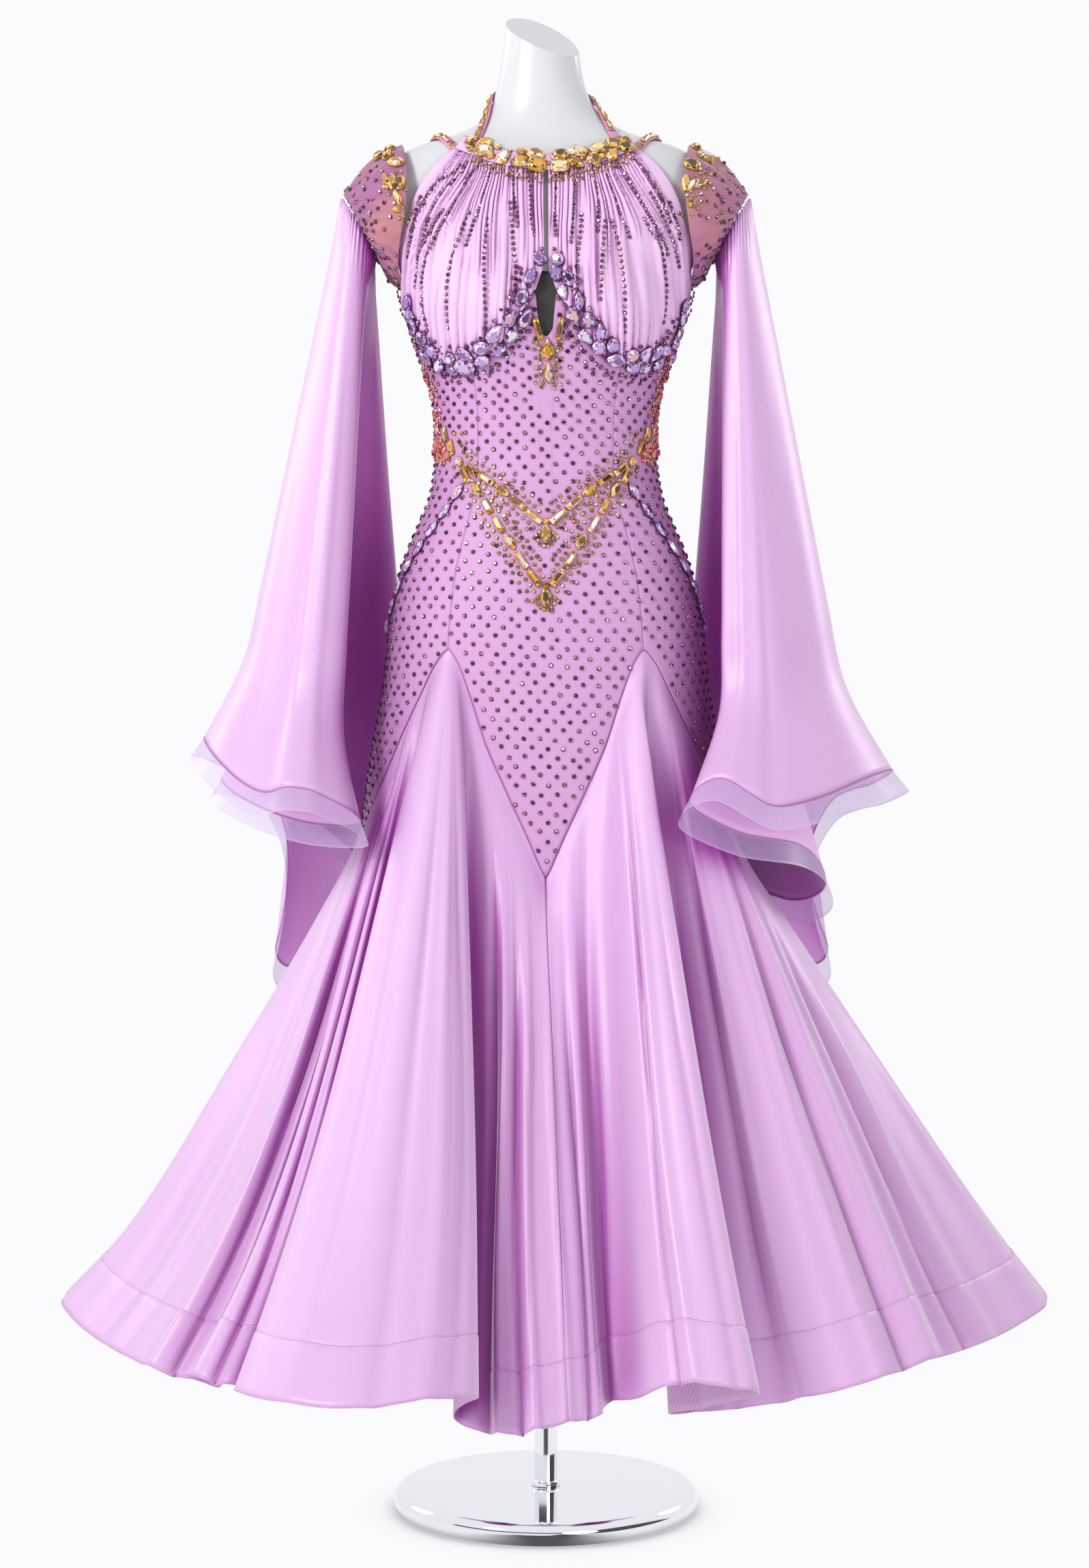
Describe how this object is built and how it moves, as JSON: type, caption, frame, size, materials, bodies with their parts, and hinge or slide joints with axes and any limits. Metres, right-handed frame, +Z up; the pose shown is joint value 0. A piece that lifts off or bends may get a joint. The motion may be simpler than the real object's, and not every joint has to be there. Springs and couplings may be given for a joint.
{
  "type": "ballroom dance dress on a limbless dress form with a stand",
  "caption": "Floor-length ballroom dance dress with godet skirt, gathered keyhole bodice and bell sleeves, on a limbless dress form with a round chrome stand.",
  "frame": {"origin": "middle of the stand base's underside, on the floor", "axes": "+Z up, -Y towards the dress's front, +X towards the viewer's right"},
  "size_m": [1.0221, 0.9878, 1.5396],
  "materials": {
    "satin": "orchid stretch satin, soft sheen",
    "stretch_knit": "orchid dance jersey, fine matt knit",
    "sheer_mesh": "sheer skin-pink mesh",
    "net_braid": "stiff sheer horsehair net",
    "gold_stones": "faceted golden glass stones, foiled",
    "violet_stones": "faceted violet glass stones, foiled",
    "plum_stones": "small faceted plum rhinestones, foiled",
    "form_lacquer": "glossy pale grey lacquer",
    "chrome": "polished chrome plate"
  },
  "bodies": {
    "root": {"belt_stones_lower": "gold_stones", "belt_stones_upper": "gold_stones", "body_back_left": "stretch_knit", "body_back_right": "stretch_knit", "body_front": "stretch_knit", "body_side_left": "stretch_knit", "body_side_right": "stretch_knit", "bust_left": "stretch_knit", "bust_right": "stretch_knit", "cap_stones_left": "gold_stones", "cap_stones_right": "gold_stones", "dress_form": "form_lacquer", "godet_back_left": "satin", "godet_back_right": "satin", "godet_front_left": "satin", "godet_front_right": "satin", "hip_stones_left": "violet_stones", "hip_stones_right": "violet_stones", "neck_strap": "stretch_knit", "neckband": "gold_stones", "pendant_stones": "gold_stones", "shoulder_strap_left": "stretch_knit", "shoulder_strap_right": "stretch_knit", "sleeve_braid_left": "net_braid", "sleeve_braid_right": "net_braid", "sleeve_cap_left": "sheer_mesh", "sleeve_cap_right": "sheer_mesh", "sleeve_left": "satin", "sleeve_right": "satin", "stand_base": "chrome", "stand_pole": "chrome", "underbust_stones_left": "violet_stones", "underbust_stones_right": "violet_stones"}
  },
  "joints": []
}
